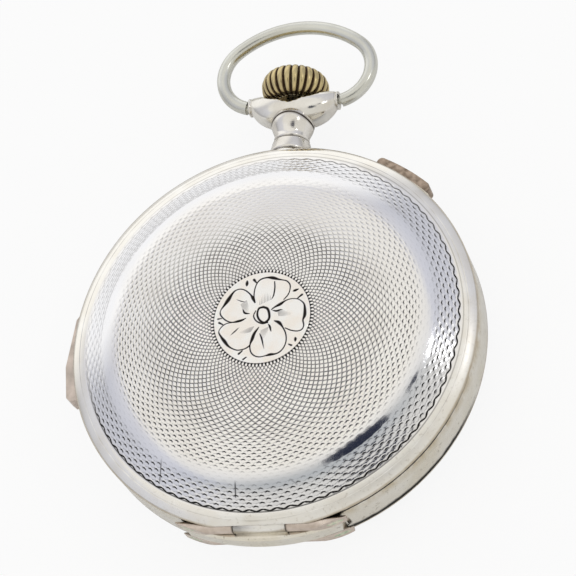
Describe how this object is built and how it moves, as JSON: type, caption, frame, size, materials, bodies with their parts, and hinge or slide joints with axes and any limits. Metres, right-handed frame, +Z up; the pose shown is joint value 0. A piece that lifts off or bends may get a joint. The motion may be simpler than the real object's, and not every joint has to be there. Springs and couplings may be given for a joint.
{
  "type": "hunter pocket watch",
  "caption": "Round pocket watch with engine-turned hinged covers front and back, an oval bow, a fluted crown, a repeater slide and a side pusher.",
  "frame": {"origin": "centre of the front cover's flat medallion, on which the watch lies", "axes": "+Z up through the back cover, +Y from the centre to the pendant and crown, +X to the right seen from the back"},
  "size_m": [0.0576, 0.0791, 0.0154],
  "materials": {
    "silver": "polished and engine-turned silver with light wear",
    "gilt": "worn pinkish gilt",
    "crown_brass": "gilt brass, dark in the grooves",
    "steel": "polished spring and arbor steel",
    "blued_steel": "heat-blued steel",
    "plate_gilt": "frosted gilding",
    "wheel_brass": "polished brass",
    "enamel": "white vitreous enamel",
    "glass": "clear domed crystal",
    "ruby": "ruby"
  },
  "bodies": {
    "case": {"case_band": "silver", "hinge_knuckles": "gilt", "back_hinge_pin": "steel", "front_hinge_pin": "steel", "cuvette_hinge_pin": "steel", "bezel": "silver", "crystal": "glass", "lift_spring": "steel", "catch_spring": "steel", "pendant_neck": "silver", "pendant_yoke": "silver", "pendant_sleeve": "steel", "pusher_guard": "silver", "mainplate": "plate_gilt", "barrel_bridge": "plate_gilt", "train_bridge": "plate_gilt", "pallet_bridge": "plate_gilt", "balance_cock": "plate_gilt", "bridge_screws": "blued_steel", "case_screws": "steel", "jewels": "ruby", "dial": "enamel", "gongs": "steel"},
    "back_cover": {"back_cover": "silver"},
    "front_cover": {"front_cover": "silver"},
    "cuvette": {"cuvette": "silver"},
    "bow": {"bow": "silver"},
    "winding_stem": {"winding_stem": "steel", "winding_pinion": "steel"},
    "crown": {"crown": "crown_brass", "crown_pipe": "steel"},
    "crown_wheel": {"crown_wheel": "steel"},
    "ratchet": {"ratchet_wheel": "steel", "barrel_arbor": "steel"},
    "click": {"click": "steel"},
    "repeater_slide": {"repeater_slide": "gilt", "repeater_shoe": "steel"},
    "chronograph_pusher": {"chronograph_pusher": "gilt"},
    "fourth_wheel": {"fourth_wheel": "wheel_brass", "seconds_hand": "blued_steel"},
    "third_wheel": {"third_wheel": "wheel_brass"},
    "centre_wheel": {"centre_wheel": "wheel_brass", "cannon_pinion": "wheel_brass", "minute_hand": "blued_steel"},
    "escape_wheel": {"escape_wheel": "steel"},
    "barrel": {"barrel": "wheel_brass", "mainspring": "steel"},
    "minute_wheel": {"minute_wheel": "wheel_brass"},
    "hour_wheel": {"hour_wheel": "wheel_brass", "hour_hand": "blued_steel"},
    "chronograph": {"chronograph_wheel": "wheel_brass", "chronograph_hand": "blued_steel"},
    "balance": {"balance_wheel": "wheel_brass", "balance_staff": "steel", "hairspring": "blued_steel"},
    "pallet_fork": {"pallet_fork": "steel"},
    "hour_hammer": {"hour_hammer": "steel"},
    "quarter_hammer": {"quarter_hammer": "steel"}
  },
  "joints": [
    {"name": "back_cover_hinge", "type": "hinge", "parent": "case", "child": "back_cover", "pos_m": [0, -0.0269, 0.00965], "axis": [1, 0, 0], "range_deg": [0, 95]},
    {"name": "front_cover_hinge", "type": "hinge", "parent": "case", "child": "front_cover", "pos_m": [0, -0.0269, 0.00575], "axis": [-1, 0, 0], "range_deg": [0, 95]},
    {"name": "cuvette_hinge", "type": "hinge", "parent": "case", "child": "cuvette", "pos_m": [0, -0.02545, 0.01055], "axis": [1, 0, 0], "range_deg": [0, 76]},
    {"name": "bow_swing", "type": "hinge", "parent": "case", "child": "bow", "pos_m": [0, 0.03682, 0.0077], "axis": [1, 0, 0], "range_deg": [-95, 95]},
    {"name": "winding", "type": "hinge", "parent": "case", "child": "winding_stem", "pos_m": [0, 0.02, 0.0077], "axis": [0, 1, 0], "continuous": true},
    {"name": "crown_push", "type": "slide", "parent": "winding_stem", "child": "crown", "axis": [0, -1, 0], "range_m": [0, 0.0005], "stiffness_N_per_m": 800},
    {"name": "crown_wheel_turn", "type": "hinge", "parent": "case", "child": "crown_wheel", "pos_m": [0, 0.01033, 0.0103], "axis": [0, 0, 1], "continuous": true},
    {"name": "ratchet_turn", "type": "hinge", "parent": "case", "child": "ratchet", "pos_m": [0.00793, 0.00665, 0.0103], "axis": [0, 0, 1], "continuous": true},
    {"name": "click_swing", "type": "hinge", "parent": "case", "child": "click", "pos_m": [0.0154, 0.003, 0.0103], "axis": [0, 0, 1], "range_deg": [0, 10]},
    {"name": "repeater_pull", "type": "hinge", "parent": "case", "child": "repeater_slide", "pos_m": [0, 0, 0.0077], "axis": [0, 0, -1], "range_deg": [0, 25]},
    {"name": "chronograph_push", "type": "slide", "parent": "case", "child": "chronograph_pusher", "axis": [-0.5764, -0.8171, 0], "range_m": [0, 0.0008], "stiffness_N_per_m": 1500},
    {"name": "fourth_wheel_turn", "type": "hinge", "parent": "case", "child": "fourth_wheel", "pos_m": [-0.0115, 0, 0.0077], "axis": [0, 0, 1], "continuous": true},
    {"name": "third_wheel_turn", "type": "hinge", "parent": "case", "child": "third_wheel", "pos_m": [-0.00624, 0.0036, 0.0077], "axis": [0, 0, 1], "continuous": true},
    {"name": "centre_wheel_turn", "type": "hinge", "parent": "case", "child": "centre_wheel", "pos_m": [0, 0, 0.0077], "axis": [0, 0, 1], "continuous": true},
    {"name": "escape_wheel_turn", "type": "hinge", "parent": "case", "child": "escape_wheel", "pos_m": [-0.009, -0.00433, 0.0077], "axis": [0, 0, 1], "continuous": true},
    {"name": "barrel_turn", "type": "hinge", "parent": "case", "child": "barrel", "pos_m": [0.00793, 0.00665, 0.0077], "axis": [0, 0, 1], "continuous": true},
    {"name": "minute_wheel_turn", "type": "hinge", "parent": "case", "child": "minute_wheel", "pos_m": [0, 0.0048, 0.0077], "axis": [0, 0, 1], "continuous": true},
    {"name": "hour_wheel_turn", "type": "hinge", "parent": "case", "child": "hour_wheel", "pos_m": [0, 0, 0.0077], "axis": [0, 0, 1], "continuous": true},
    {"name": "chronograph_turn", "type": "hinge", "parent": "case", "child": "chronograph", "pos_m": [0, 0, 0.0077], "axis": [0, 0, 1], "continuous": true},
    {"name": "balance_swing", "type": "hinge", "parent": "case", "child": "balance", "pos_m": [-0.0005, -0.0125, 0.0077], "axis": [0, 0, 1], "range_deg": [-120, 120]},
    {"name": "pallet_swing", "type": "hinge", "parent": "case", "child": "pallet_fork", "pos_m": [-0.00634, -0.00689, 0.0077], "axis": [0, 0, 1], "range_deg": [-4, 4]},
    {"name": "hour_hammer_swing", "type": "hinge", "parent": "case", "child": "hour_hammer", "pos_m": [0.0154, -0.007, 0.0077], "axis": [0, 0, -1], "range_deg": [0, 8]},
    {"name": "quarter_hammer_swing", "type": "hinge", "parent": "case", "child": "quarter_hammer", "pos_m": [0.0112, -0.0124, 0.0077], "axis": [0, 0, -1], "range_deg": [0, 8]}
  ],
  "couplings": [
    {"joint": "cuvette_hinge", "follows": "back_cover_hinge", "ratio": 0.8},
    {"joint": "crown_wheel_turn", "follows": "winding", "ratio": -0.66667},
    {"joint": "ratchet_turn", "follows": "winding", "ratio": 0.43478},
    {"joint": "third_wheel_turn", "follows": "centre_wheel_turn", "ratio": -8},
    {"joint": "fourth_wheel_turn", "follows": "centre_wheel_turn", "ratio": 60},
    {"joint": "escape_wheel_turn", "follows": "centre_wheel_turn", "ratio": -600},
    {"joint": "barrel_turn", "follows": "centre_wheel_turn", "ratio": -0.125},
    {"joint": "minute_wheel_turn", "follows": "centre_wheel_turn", "ratio": -0.33333},
    {"joint": "hour_wheel_turn", "follows": "centre_wheel_turn", "ratio": 0.083333},
    {"joint": "chronograph_turn", "follows": "centre_wheel_turn", "ratio": 60}
  ]
}
